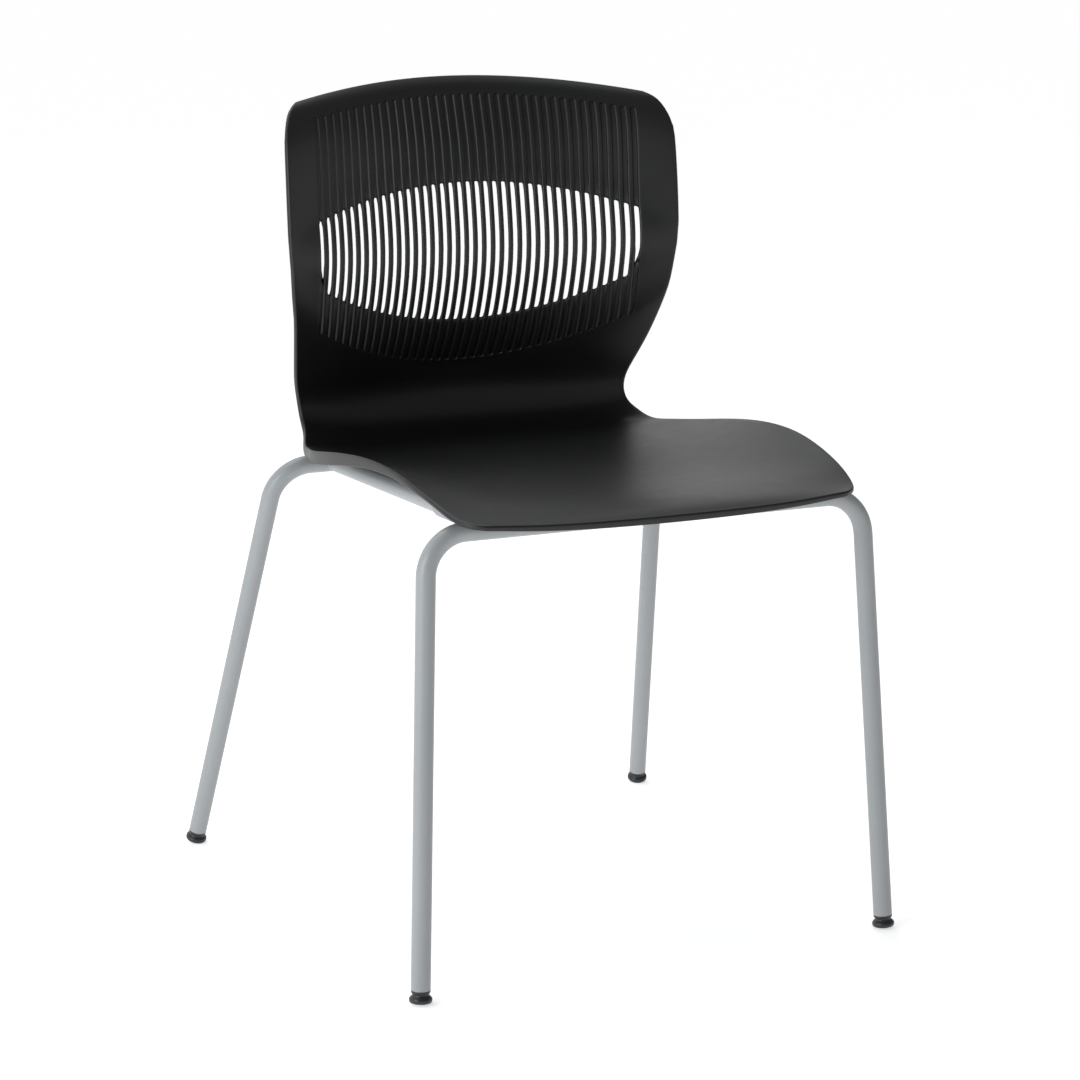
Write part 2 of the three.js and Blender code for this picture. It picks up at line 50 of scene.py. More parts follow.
# Sections of the shell from the front lip, back along the seat, round the bend and up the back.
# On the middle line: y, z. On the right-hand edge: x, y, z. Then how full the section is between the
# two in depth and in height, how deep the rim is, and how far it has turned from hanging down (0)
# to a rounded edge square to the face (1).
SECTIONS = [
    (-308.8, 456.5, 190, -300.5, 462, -0.65, -0.65, 5.5, 0),
    (-297, 461, 204, -292, 462.5, -0.65, -0.65, 5, 0),
    (-279, 464, 214, -277, 465, -0.65, -0.65, 4.8, 0),
    (-249, 465, 221, -249, 473.5, -0.65, -0.65, 4.8, 0),
    (-209, 464, 225.5, -213, 483, -0.65, -0.65, 5, 0),
    (-159, 461.5, 228.5, -161, 493, -0.65, -0.65, 7.5, 0),
    (-109, 459.5, 230.5, -109, 496, -0.65, -0.65, 10, 0),
    (-9, 457.5, 231.5, -9, 487.5, -0.65, -0.65, 13.5, 0),
    (91, 457, 221, 75, 474.8, -0.65, -0.65, 13.5, 0),
    (131, 457.5, 212, 105, 471, -0.57, -0.57, 13, 0.1),
    (163, 459.5, 204, 134, 470.3, -0.45, -0.45, 12, 0.3),
    (186, 464, 196.5, 151.5, 478, -0.32, -0.3, 9, 0.6),
    (201, 471.5, 192.3, 165, 486, -0.25, -0.2, 7, 0.9),
    (210, 482, 191.5, 172.5, 496.5, -0.17, -0.1, 6, 1),
    (214.5, 494, 193.7, 172.7, 509.7, -0.09, -0.05, 6, 1),
    (215, 508, 199, 165.2, 527, 0, 0, 6, 1),
    (211, 522, 206.5, 147, 556, 0.2, 0, 6, 1),
    (204, 536, 215.5, 123, 602.5, 0.4, 0, 6, 1),
    (188, 560, 219.3, 115.3, 627.3, 0.3, 0, 6, 1),
    (177, 582.7, 221.8, 110.9, 652, 0.2, 0, 6, 1),
    (158.7, 640, 223.4, 109.4, 667, 0.1, 0, 6, 1),
    (159.9, 700, 224.2, 109, 680, 0, 0, 6, 1),
    (165.3, 733.2, 224.5, 109, 686, -0.04, 0, 6, 1),
    (178, 795, 223.8, 117.4, 773.7, 0.2, 0, 6, 1),
    (187.2, 824.5, 220.1, 125.9, 799.5, 0.3, 0, 6, 1),
    (191, 834, 213, 137, 815, 0.25, 0, 6, 1),
    (201.5, 843.85, 199, 153, 824.7, 0.2, 0, 6, 1),
]
BEND_START = 12                        # sections where the columns stop spreading with the seat,
GROOVES_LOW = 17                       # the grooves begin,
WINDOW_LOW = 19                        # the slots begin,
WINDOW_HIGH = 22                       # the slots end
GROOVES_HIGH = 24                      # and the grooves end

SKIN = 4.0
EDGE_SKIN = 6.0                        # at the rounded edge of the back
EDGE_SWELL = 14.0                      # how far in from that edge the skin thickens
SEAT_ROUND = 1.8                       # rounding of the seat's edge
BACK_ROUND = 2.2                       # rounding of the back's edge
RIM_WALL = 3.0
RIM_FOOT = 1.2                         # rounding of the rim's foot
LIP_EXTRA = 2.0                        # how much deeper the rim is at the middle of the front lip
RIM_FILLET = 1.0                       # at the inner root of the rim
RIM_STEPS = 8
EDGE_TURN = 84                         # degrees of the rounding on each side of its middle

GROOVE_PITCH = 10.15
GROOVE_COUNT = 37
SLOT_HALF = 2.32
SLOT_CORNER = 1.8                      # rounding of the ends of slots and grooves, seen from the front
BAR_HALF = (GROOVE_PITCH - 2 * SLOT_HALF) / 2
BAR_DEPTH = 2.3                        # half the depth of a bar between two slots
BAR_GROWS = 9.0                        # length over which a rib becomes a round bar
# Columns from the middle of a groove out to the middle of the rib beside it.
GROOVE_SPREAD = (0, 1.2, 1.9, 2.35, 2.8, 3.25, GROOVE_PITCH / 2)
GROOVE_DEPTH = (1.9, 1.9, 1.75, 1.1, 0.35, 0.03, 0)
BAR_ANGLES = (0, 8, 20, 37, 54, 72, 90)
SLOT_ROLL = 1.4                        # how far the groove's floor rolls over into the slot
SLOT_ROLL_REACH = 3.0
SLOT_ROLL_SHARE = (1, 1, 0.5, 0.1, 0, 0, 0)   # of that roll, column by column
SLOT_BACK_ROLL = 0.4                   # share of that roll on the back of the shell
CORNER_SLOT_TIP = 11.5                 # the outermost slots start this much higher, with a point
CORNER_SLOT_TAPER = 24                 # that widens over this length
CORNER_SLOT_POINT = 0.1                # width of that point
CORNER_SLOT_INSET = 0.5                # how far the point is from the slot's inner side
SIDE_COLUMNS = 8
REFERENCE_HALF = 221.0                 # half width on which the columns are laid out
UPRIGHT_BEFORE = 6                     # the columns stand upright this far before the grooves begin
LAST_STEP = len(GROOVE_SPREAD) - 1     # columns from the middle of a groove to the middle of a rib

# Rows, by their distance inside the end of a groove and of a slot.
GROOVE_END_ROWS = (-1.4, 0, 0.35, 0.9, 1.6, 2.4)
SLOT_END_ROWS = (-2.6, -1.4, -0.5, 0, 0.45, 1.1, 2.2)
# How far apart the rows are on the lip, which is this long, on the rest of the seat and in the bend.
LIP_LENGTH = 30
LIP_ROW_GAP = 3.5
SEAT_ROW_GAP = 11.0
BEND_ROW_GAP = 5.0
# How many rows stand between the ends of the grooves and of the slots, and above them all.
LOW_GROOVE_ROWS = 3
WINDOW_ROWS = 14
HIGH_GROOVE_ROWS = 7
TOP_ROWS = 5

TUBE_RADIUS = 9.525
TUBE_WALL = 1.5
TUBE_SIDES = 48
BEND_RADIUS = 42
BEND_STEPS = 14
GLIDE_LENGTH = 13.9
GLIDE_DOME = 30.6
LEAN_FROM = 13                         # height at which half and y, below, are stated
FRONT_LEGS = {"half": 257.2, "y": -282.2, "lean_in": 0.0475, "lean_back": 0.0598, "bar": 448.6}
REAR_LEGS = {"half": 275.3, "y": 295.1, "lean_in": 0.1159, "lean_back": -0.3156, "bar": 443.1}
RAIL_X = 160
RAIL_END_RINGS = (0, 0.6, 1.4, 2.6)    # rings of the weld at each end of a rail
WELD_SIZE = 1.8
WELD_RIPPLES = 12
WELD_RIPPLE_HEIGHT = 0.12
WELD_OVERLAP = 0.1

# The glide's outline from the middle of its sole up into the tube: radius, and height above the tube's end.
GLIDE_OUTLINE = (
    (1.6, -13.86), (5, -13.3), (7.5, -12.8), (9.2, -12.44), (10.4, -11.9), (11.1, -11), (11.3, -9.9),
    (11.3, -8.8), (11.1, -7.8), (10.3, -6.7), (9.2, -5.7), (8.5, -4.9), (8.3, -4.1), (8.4, -3.3),
    (8.8, -2.6), (9.3, -2.3), (9.5, -1.8), (9.5, -0.5), (9.3, -0.1), (7.7, 0), (7.7, 15), (6.9, 16),
)
BUMPER_BORE = 9.825
BUMPER_WALL = 2
BUMPER_LENGTH = 34
BUMPER_WRAP = 95                       # degrees up each side from the bottom
BUMPER_BEVEL = 0.7
TAB_CORNER = 7
TAB_BEVEL = 0.4
WASHER_RADIUS = 7.4
SCREW_SIDES = 36
# The screw's outline below its tab, washer first: radius and height.
SCREW_OUTLINE = (
    (7.6, -0.2), (7.6, -0.8), (7.4, -1), (5, -1), (5.2, -1.3), (5.1, -2.2), (4.4, -2.9), (3.2, -3.2),
    (2.6, -3.2),
)
SCREW_KEY = 2.0                        # half the width of the key's hole
SCREW_HOLE = 1.8                       # depth of the key's hole
BOSS_RADIUS = 7.6
BOSS_DRAFT = 1.05                      # how much wider the boss is at its top
BOSS_ROOT = 1.5                        # height of the flare at its root
BOSS_FLARE = 1.3
BOSS_SUNK = 1                          # how far it stands into the seat
GUSSET_REACH = 17
GUSSET_WALL = 1.8
GUSSET_TOE = (0.55, 0.7, 1)            # how much narrower a gusset is at its foot
GUSSET_BEVEL = 0.4


# The studio, in metres: a lit wall behind the chair, a dim room before it and a lit floor of paper.
WHITE = (1, 1, 1, 1)
BRIGHT_WALL = (-0.35, 0.92, 0.1)       # where it is, as a direction
BRIGHT_ROOM = 1.0
DIM_ROOM = 0.22
DIM_UNTIL = -0.1                       # how squarely a direction faces the wall where dim ends,
BRIGHT_FROM = 0.85                     # and where bright begins
FLOOR_SIZE = 400
FLOOR_GLOW = 0.58
SOFTBOX_COLOUR = (0.88, 0.94, 1.0)
# Name, place, what it is turned to, width, height, watts.
SOFTBOXES = (
    ("left_softbox", (-3.0, -1.05, 1.3), (0, 0, 0.6), 1.9, 1.7, 48),
    ("top_softbox", (-0.3, 0.9, 3.1), (0, 0, 0.4), 2.2, 1.6, 22),
)
CAMERA_PLACE = (-1.3838, -2.8798, 1.0468)
CAMERA_AIM = (-0.0390, -0.0908, 0.3949)
CAMERA_LENS = 104.47                   # in millimetres,
CAMERA_SENSOR = 36                     # as is the sensor's width
CAMERA_REACH = 1000


# ------------------------------------------------------------ finishes

class Wire:
    """One output of a tree's nodes, so that sums and products of outputs read as plain sums."""

    def __init__(self, nodes, socket):
        self.nodes = nodes
        self.socket = socket

    def join(self, operation, first, second):
        return self.nodes.node("ShaderNodeMath", {"operation": operation}, {0: first, 1: second})

    def __add__(self, other):
        return self.join("ADD", self, other)

    def __radd__(self, other):
        return self.join("ADD", other, self)

    def __mul__(self, other):
        return self.join("MULTIPLY", self, other)

    def __rmul__(self, other):
        return self.join("MULTIPLY", other, self)


class Nodes:
    """A tree of shader nodes: every node is added here, and every socket is fed here."""

    def __init__(self, tree):
        self.tree = tree

    def node(self, kind, settings, inputs, output=0):
        made = self.tree.nodes.new(kind)
        for name, value in settings.items():
            setattr(made, name, value)
        for name, value in inputs.items():
            self.feed(made.inputs[name], value)
        return Wire(self, made.outputs[output])

    def feed(self, socket, value):
        if isinstance(value, Wire):
            self.tree.links.new(value.socket, socket)
        else:
            socket.default_value = value


class Finish(Nodes):
    """A material: its shader's fixed values, and the nodes that vary it over the surface."""

    def __init__(self, name, **fixed):
        self.material = bpy.data.materials.new(name)
        self.material.use_nodes = True
        super().__init__(self.material.node_tree)
        self.shader = self.tree.nodes["Principled BSDF"]
        for socket, value in fixed.items():
            self.give(socket.replace("_", " "), value)
        self.place = self.node("ShaderNodeTexCoord", {}, {}, "Object")

    def give(self, socket, value):
        self.feed(self.shader.inputs[socket], value)

    def noise(self, scale, detail):
        return self.node("ShaderNodeTexNoise", {}, {"Vector": self.place, "Scale": scale, "Detail": detail})

    def mix(self, share, first, second):
        return self.node("ShaderNodeMix", {"data_type": "RGBA"}, {0: share, 6: first, 7: second}, 2)

    def bump(self, height, distance, strength):
        return self.node("ShaderNodeBump", {}, {"Height": height, "Distance": distance, "Strength": strength})


def shell_plastic():
    finish = Finish("shell_plastic", IOR=1.5)
    grain = finish.noise(scale=1500, detail=3)
    patches = finish.noise(scale=9, detail=3)
    cloud = finish.noise(scale=45, detail=2)
    blacker = (0.0036, 0.0036, 0.0040, 1)
    greyer = (0.0070, 0.0070, 0.0075, 1)
    finish.give("Base Color", finish.mix(patches * 0.6 + grain * 0.4, blacker, greyer))
    finish.give("Roughness", 0.34 + cloud * 0.06 + grain * 0.08)
    finish.give("Normal", finish.bump(grain, distance=0.00005, strength=0.6))
    return finish.material


def frame_paint():
    finish = Finish("frame_paint", Metallic=0.12, Coat_Roughness=0.15, Coat_Weight=0.2)
    peel = finish.noise(scale=420, detail=2)
    fleck = finish.noise(scale=2600, detail=1)
    patches = finish.noise(scale=12, detail=2)
    darker = (0.29, 0.303, 0.308, 1)
    lighter = (0.37, 0.383, 0.388, 1)
    finish.give("Base Color", finish.mix(patches * 0.5 + fleck * 0.5, darker, lighter))
    finish.give("Roughness", 0.42 + peel * 0.06 + fleck * 0.06)
    finish.give("Normal", finish.bump(peel * 0.7 + fleck * 0.3, distance=0.00004, strength=0.5))
    return finish.material


def glide_nylon():
    finish = Finish("glide_nylon", IOR=1.53)
    grain = finish.noise(scale=900, detail=2)
    scuff = finish.noise(scale=140, detail=4)
    blacker = (0.010, 0.010, 0.011, 1)
    greyer = (0.022, 0.022, 0.024, 1)
    finish.give("Base Color", finish.mix(grain, blacker, greyer))
    finish.give("Roughness", 0.30 + scuff * 0.18)
    finish.give("Normal", finish.bump(grain, distance=0.00004, strength=0.5))
    return finish.material


def bumper_plastic():
    finish = Finish("bumper_plastic", IOR=1.48)
    grain = finish.noise(scale=1100, detail=2)
    patches = finish.noise(scale=30, detail=2)
    darker = (0.26, 0.27, 0.28, 1)
    lighter = (0.34, 0.35, 0.36, 1)
    finish.give("Base Color", finish.mix(patches * 0.5 + grain * 0.5, darker, lighter))
    finish.give("Roughness", 0.42 + grain * 0.12)
    finish.give("Normal", finish.bump(grain, distance=0.00005, strength=0.5))
    return finish.material


def zinc_steel():
    finish = Finish("zinc_steel", Metallic=1.0)
    brushed = finish.noise(scale=500, detail=4)
    patches = finish.noise(scale=90, detail=2)
    darker = (0.48, 0.49, 0.50, 1)
    lighter = (0.62, 0.63, 0.63, 1)
    finish.give("Base Color", finish.mix(patches, darker, lighter))
    finish.give("Roughness", 0.26 + brushed * 0.16)
    finish.give("Normal", finish.bump(brushed, distance=0.00003, strength=0.5))
    return finish.material


def floor_paper():
    finish = Finish("floor_paper", Roughness=0.9, Specular_IOR_Level=0, Emission_Strength=FLOOR_GLOW)
    fibre = finish.noise(scale=60, detail=3)
    darker = (0.88, 0.88, 0.88, 1)
    lighter = (0.90, 0.90, 0.90, 1)
    finish.give("Emission Color", WHITE)
    finish.give("Base Color", finish.mix(fibre, darker, lighter))
    return finish.material


# ------------------------------------------------------------ working by hand

def nothing_selected():
    if bpy.context.object and bpy.context.object.mode != "OBJECT":
        bpy.ops.object.mode_set(mode="OBJECT")
    bpy.ops.object.select_all(action="DESELECT")


def named(name):
    piece = bpy.context.object
    piece.name = name
    piece.data.name = name
    return piece


def work_on(piece):
    nothing_selected()
    piece.select_set(True)
    bpy.context.view_layer.objects.active = piece


def shape(piece, what):
    """Into edit mode, with nothing selected, picking what: VERT, EDGE or FACE."""
    work_on(piece)
    bpy.ops.object.mode_set(mode="EDIT")
    bpy.ops.mesh.select_mode(type=what)
    bpy.ops.mesh.select_all(action="DESELECT")


def pick(piece, kind, wanted):
    """Selects the faces or edges that are wanted."""
    mesh = bmesh.from_edit_mesh(piece.data)
    for item in getattr(mesh, kind):
        item.select_set(bool(wanted(item)))
    mesh.select_flush_mode()
    bmesh.update_edit_mesh(piece.data)


def shaped(piece, outward=True):
    """Back out of edit mode, with the faces pointing outwards."""
    if outward:
        bpy.ops.mesh.select_all(action="SELECT")
        bpy.ops.mesh.normals_make_consistent(inside=False)
    bpy.ops.object.mode_set(mode="OBJECT")


def copied(piece, name, matrix):
    copy = bpy.data.objects.new(name, piece.data.copy())
    copy.data.name = name
    copy.data.transform(matrix)
    bpy.context.collection.objects.link(copy)
    return copy


def upright_on(place, direction):
    """Takes what stands on the origin to a place, with its own up along a direction."""
    return Matrix.Translation(place * MM) @ direction.to_track_quat("Z", "Y").to_matrix().to_4x4()


def middle_of(node):
    low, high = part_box(node)
    return (Vector(low) + Vector(high)) / 2 / MM


def discarded(piece):
    bpy.data.objects.remove(piece, do_unlink=True)


def modified(piece, kind, **settings):
    work_on(piece)
    modifier = piece.modifiers.new(kind.lower(), kind)
    for name, value in settings.items():
        setattr(modifier, name, value)
    bpy.ops.object.modifier_apply(modifier=modifier.name)


def smooth(piece, degrees):
    work_on(piece)
    bpy.ops.object.shade_smooth_by_angle(angle=math.radians(degrees))


def finished(piece, material, slot, *nodes):
    piece.data.materials.clear()
    piece.data.materials.append(material)
    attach(piece, "root")
    if nodes:
        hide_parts(*nodes)
    return piece


def eased(value):
    held = min(max(value, 0.0), 1.0)
    return held * held * (3 - 2 * held)


def between(a, b, share):
    return a + (b - a) * share


# ------------------------------------------------------------ the shell's surface

class Curve:
    """A smooth curve through given values at given knots (a natural cubic spline)."""

    def __init__(self, knots, values):
        self.knots = knots
        self.values = values
        count = len(knots)
        self.bend = [0.0] * count
        spare = [0.0] * count
        for i in range(1, count - 1):
            before = knots[i] - knots[i - 1]
            after = knots[i + 1] - knots[i]
            share = before / (before + after)
            weight = share * self.bend[i - 1] + 2
            self.bend[i] = (share - 1) / weight
            jump = (values[i + 1] - values[i]) / after - (values[i] - values[i - 1]) / before
            spare[i] = (6 * jump / (before + after) - share * spare[i - 1]) / weight
        for i in range(count - 2, -1, -1):
            self.bend[i] = self.bend[i] * self.bend[i + 1] + spare[i]

    def at(self, t):
        low = 0
        while low < len(self.knots) - 2 and t > self.knots[low + 1]:
            low += 1
        width = self.knots[low + 1] - self.knots[low]
        a = (self.knots[low + 1] - t) / width
        b = 1 - a
        curved = (a ** 3 - a) * self.bend[low] + (b ** 3 - b) * self.bend[low + 1]
        return a * self.values[low] + b * self.values[low + 1] + curved * width ** 2 / 6


def section_knots():
    knots = [0.0]
    for old, new in zip(SECTIONS, SECTIONS[1:]):
        middle = math.dist(old[:2], new[:2])
        edge = math.dist(old[2:5], new[2:5])
        knots.append(knots[-1] + (middle + edge) / 2)
    return knots


KNOTS = section_knots()
CURVES = [Curve(KNOTS, list(values)) for values in zip(*SECTIONS)]


class Section:
    """The shell's cross section at one place along it."""

    cache = {}

    def __init__(self, t):
        values = [curve.at(t) for curve in CURVES]
        self.middle = Vector((0, values[0], values[1]))
        self.edge = Vector(values[2:5])
        self.full_y, self.full_z, self.rim, roll = values[5:]
        self.roll = min(max(roll, 0), 1)
        self.round = between(SEAT_ROUND, BACK_ROUND, self.roll)

    @classmethod
    def at(cls, t):
        key = round(t, 4)
        if key not in cls.cache:
            cls.cache[key] = cls(key)
        return cls.cache[key]

    def point(self, x):
        across = (x / self.edge.x) ** 2
        y_share = across * (1 + self.full_y * (1 - across))
        z_share = across * (1 + self.full_z * (1 - across))
        return Vector((
            x,
            between(self.middle.y, self.edge.y, y_share),
            between(self.middle.z, self.edge.z, z_share),
        ))


def face_point(x, t):
    return Section.at(t).point(x)


def face_normal(x, t):
    """Unit normal on the sitter's side."""
    along = face_point(x, t + 0.5) - face_point(x, t - 0.5)
    across = face_point(x + 0.5, t) - face_point(x - 0.5, t)
    return across.cross(along).normalized()


def speed(x, t):
    return (face_point(x, t + 0.5) - face_point(x, t - 0.5)).length


# ------------------------------------------------------------ the shell's columns and rows

def groove_x(number):
    return (number - (GROOVE_COUNT - 1) / 2) * GROOVE_PITCH


OUTER_RIB = groove_x(GROOVE_COUNT - 1) + GROOVE_PITCH / 2


def columns():
    """(groove number or None, steps from its middle, place across the reference width)."""
    inner = []
    for number in range(GROOVE_COUNT):
        first = -LAST_STEP if number == 0 else 1 - LAST_STEP
        for step in range(first, LAST_STEP + 1):
            inner.append((number, step, groove_x(number) + step * GROOVE_PITCH / (2 * LAST_STEP)))
    margin = (REFERENCE_HALF - OUTER_RIB) / SIDE_COLUMNS
    right = [(None, i, OUTER_RIB + i * margin) for i in range(1, SIDE_COLUMNS + 1)]
    left = [(None, i, -OUTER_RIB - i * margin) for i in range(SIDE_COLUMNS, 0, -1)]
    return left + inner + right


def seat_rows():
    """Shares of the way from the lip to the grooves: close at the lip and round the bend."""
    end = KNOTS[GROOVES_LOW]
    rows = [0.0]
    while rows[-1] < end:
        here = rows[-1]
        if here < LIP_LENGTH:
            gap = LIP_ROW_GAP
        elif here > KNOTS[BEND_START - 3]:
            gap = BEND_ROW_GAP
        else:
            gap = SEAT_ROW_GAP
        rows.append(here + gap)
    return [row / rows[-1] for row in rows]


COLUMNS = columns()
SEAT_ROWS = seat_rows()


def tip_lift(x):
    """How much higher the slot's lower end is, for the column that stands at x among the grooves."""
    inner = OUTER_RIB - GROOVE_PITCH
    rising = min(max((abs(x) - inner) * 2 / GROOVE_PITCH, 0), 1)
    falling = min((REFERENCE_HALF - abs(x)) / (REFERENCE_HALF - OUTER_RIB), 1)
    return CORNER_SLOT_TIP * rising * falling


def rows_of(x):
    """Places along the shell of all rows, for the column that stands at x among the grooves."""
    low = KNOTS[GROOVES_LOW]
    slot_low = KNOTS[WINDOW_LOW] + tip_lift(x) / speed(x, KNOTS[WINDOW_LOW])
    slot_high = KNOTS[WINDOW_HIGH]
    high = KNOTS[GROOVES_HIGH]
    first = [low + e / speed(x, low) for e in GROOVE_END_ROWS]
    start = SEAT_ROUND / speed(x, 1)
    result = [between(start, first[0], share) for share in SEAT_ROWS[:-1]] + first
    top = KNOTS[-1] - BACK_ROUND / speed(x, KNOTS[-1] - 1)
    groups = (
        (LOW_GROOVE_ROWS, False, [slot_low + e / speed(x, slot_low) for e in SLOT_END_ROWS]),
        (WINDOW_ROWS, True, [slot_high - e / speed(x, slot_high) for e in reversed(SLOT_END_ROWS)]),
        (HIGH_GROOVE_ROWS, False, [high - e / speed(x, high) for e in reversed(GROOVE_END_ROWS)]),
        (TOP_ROWS, False, [top]),
    )
    for count, closer_at_ends, group in groups:
        last = result[-1]
        for i in range(1, count + 1):
            share = i / (count + 1)
            if closer_at_ends:
                share = (1 - math.cos(math.pi * share)) / 2
            result.append(between(last, group[0], share))
        result += group
    return result


ROWS = [rows_of(home) for number, step, home in COLUMNS]
ROW_COUNT = len(ROWS[0])
LAST_COLUMN = len(COLUMNS) - 1
FIRST_GROOVE_ROW = len(SEAT_ROWS) - 1
LAST_GROOVE_ROW = ROW_COUNT - 2 - TOP_ROWS
FIRST_SLOT_ROW = FIRST_GROOVE_ROW + len(GROOVE_END_ROWS) + LOW_GROOVE_ROWS + SLOT_END_ROWS.index(0)
LAST_SLOT_ROW = FIRST_SLOT_ROW + WINDOW_ROWS + 2 * (len(SLOT_END_ROWS) - SLOT_END_ROWS.index(0)) - 1


def cap(inside):
    """Half width of a round-cornered slot at a distance inside its end."""
    held = min(max(inside, 0), SLOT_CORNER)
    return SLOT_HALF - SLOT_CORNER + math.sqrt(SLOT_CORNER ** 2 - (SLOT_CORNER - held) ** 2)


class Spot:
    """One vertex's place in the pattern of grooves and slots."""

    def __init__(self, column, row):
        self.number, self.step, self.home = COLUMNS[column]
        self.t = ROWS[column][row]
        self.section = Section.at(self.t)
        x = self.home
        self.groove_end = min(
            (self.t - KNOTS[GROOVES_LOW]) * speed(x, KNOTS[GROOVES_LOW]),
            (KNOTS[GROOVES_HIGH] - self.t) * speed(x, KNOTS[GROOVES_HIGH]),
        )
        self.slot_low = (self.t - KNOTS[WINDOW_LOW]) * speed(x, KNOTS[WINDOW_LOW]) - tip_lift(x)
        slot_high = (KNOTS[WINDOW_HIGH] - self.t) * speed(x, KNOTS[WINDOW_HIGH])
        self.slot_end = min(self.slot_low, slot_high)
        self.in_grooves = self.number is not None and self.groove_end > -0.01
        self.x = self.spread_home(self.grooved_x() if self.in_grooves else x)
        top = (KNOTS[-1] - self.t) * speed(x, KNOTS[-1] - 1)
        self.inside = min(self.section.edge.x - abs(self.x), top) - BACK_ROUND

    def spread_home(self, x):
        """Columns spread with the seat at the front and stand upright among the grooves."""
        half = self.section.edge.x - self.section.round
        with_seat = x * half / REFERENCE_HALF
        upright = x
        if self.number is None:
            margin = (abs(x) - OUTER_RIB) / (REFERENCE_HALF - OUTER_RIB)
            upright = math.copysign(between(OUTER_RIB, half, margin), x)
        share = (self.t - KNOTS[BEND_START]) / (KNOTS[GROOVES_LOW] - UPRIGHT_BEFORE - KNOTS[BEND_START])
        return between(with_seat, upright, eased(share))

    def wall(self, side):
        """Half width of the slot on this side of the groove's middle."""
        outward = 1 if self.number else -1
        if self.number not in (0, GROOVE_COUNT - 1) or self.slot_low > CORNER_SLOT_TAPER:
            return cap(self.slot_end)
        if side != outward:
            return SLOT_HALF - CORNER_SLOT_INSET
        point = CORNER_SLOT_INSET + CORNER_SLOT_POINT - SLOT_HALF
        opened = 1 - (1 - self.slot_low / CORNER_SLOT_TAPER) ** 2
        return min(between(point, SLOT_HALF, opened), cap(self.slot_end + SLOT_CORNER))

    def spread(self, step, side):
        """Distance from the groove's middle."""
        if step == LAST_STEP:
            return GROOVE_PITCH / 2
        if self.slot_end <= -0.01:
            narrow = cap(self.groove_end) / SLOT_HALF if step < LAST_STEP - 1 else 1
            if step == 1:
                narrow *= between(1, 0.5, eased(1 + self.slot_end / SLOT_ROLL_REACH))
            return GROOVE_SPREAD[step] * narrow
        grown = self.wall(side) + bar_spread(step) - bar_spread(1)
        return max(grown, GROOVE_SPREAD[step]) if step > 1 else grown

    def grooved_x(self):
        centre = groove_x(self.number)
        if self.step:
            side = 1 if self.step > 0 else -1
            return centre + side * self.spread(abs(self.step), side)
        if self.slot_end <= -0.01:
            return centre
        return centre + (self.spread(1, 1) - self.spread(1, -1)) / 2

    def as_bar(self):
        return eased(self.slot_end / BAR_GROWS)

    def roll(self):
        near = max(0, 1 - abs(self.slot_end) / SLOT_ROLL_REACH) ** 2
        return SLOT_ROLL * near * SLOT_ROLL_SHARE[abs(self.step)]

    def face_depth(self):
        if not self.in_grooves:
            return 0.0
        step = abs(self.step)
        groove = GROOVE_DEPTH[step] * eased(self.groove_end)
        bar = BAR_DEPTH * (1 - math.sin(math.radians(BAR_ANGLES[step])))
        return between(groove, bar, self.as_bar()) + self.roll()

    def back_depth(self):
        swell = eased(1 - self.inside / EDGE_SWELL) * self.section.roll
        skin = between(SKIN, EDGE_SKIN, swell)
        if not self.in_grooves:
            return skin
        step = abs(self.step)
        bar = BAR_DEPTH * (1 + math.sin(math.radians(BAR_ANGLES[step])))
        thick = between(skin, 2 * BAR_DEPTH, eased(1 + self.slot_end / BAR_GROWS))
        return between(thick, bar, self.as_bar()) - SLOT_BACK_ROLL * self.roll()

    def place(self, depth):
        return face_point(self.x, self.t) - face_normal(self.x, self.t) * depth


def bar_spread(step):
    return GROOVE_PITCH / 2 - BAR_HALF * math.cos(math.radians(BAR_ANGLES[step]))


# ------------------------------------------------------------ the shell

def column_kept(column):
    """Columns that run on over the seat, where there are no grooves."""
    number, step, home = COLUMNS[column]
    return number is None or abs(step) in (0, LAST_STEP)


def shell_grid():
    """A flat grid whose points know their column and row."""
    nothing_selected()
    bpy.ops.mesh.primitive_grid_add(x_subdivisions=LAST_COLUMN, y_subdivisions=ROW_COUNT - 1, size=2)
    piece = named("shell")
    for name in ("column", "row", "side"):
        piece.data.attributes.new(name, "INT", "POINT")
    for i, vertex in enumerate(piece.data.vertices):
        piece.data.attributes["column"].data[i].value = round((vertex.co.x + 1) / 2 * LAST_COLUMN)
        piece.data.attributes["row"].data[i].value = round((vertex.co.y + 1) / 2 * (ROW_COUNT - 1))
    return piece


def layers_of(mesh):
    return [mesh.verts.layers.int[name] for name in ("column", "row", "side")]


def cut_slots(piece):
    """Opens the slots in the flat grid."""
    shape(piece, "FACE")
    mesh = bmesh.from_edit_mesh(piece.data)
    column_of, row_of = layers_of(mesh)[:2]
    for face in mesh.faces:
        column = min(vertex[column_of] for vertex in face.verts)
        row = min(vertex[row_of] for vertex in face.verts)
        number, step, home = COLUMNS[column]
        in_row = FIRST_SLOT_ROW <= row < LAST_SLOT_ROW
        face.select_set(in_row and number is not None and step in (-1, 0))
    bmesh.update_edit_mesh(piece.data)
    bpy.ops.mesh.delete(type="FACE")
    shaped(piece, outward=False)


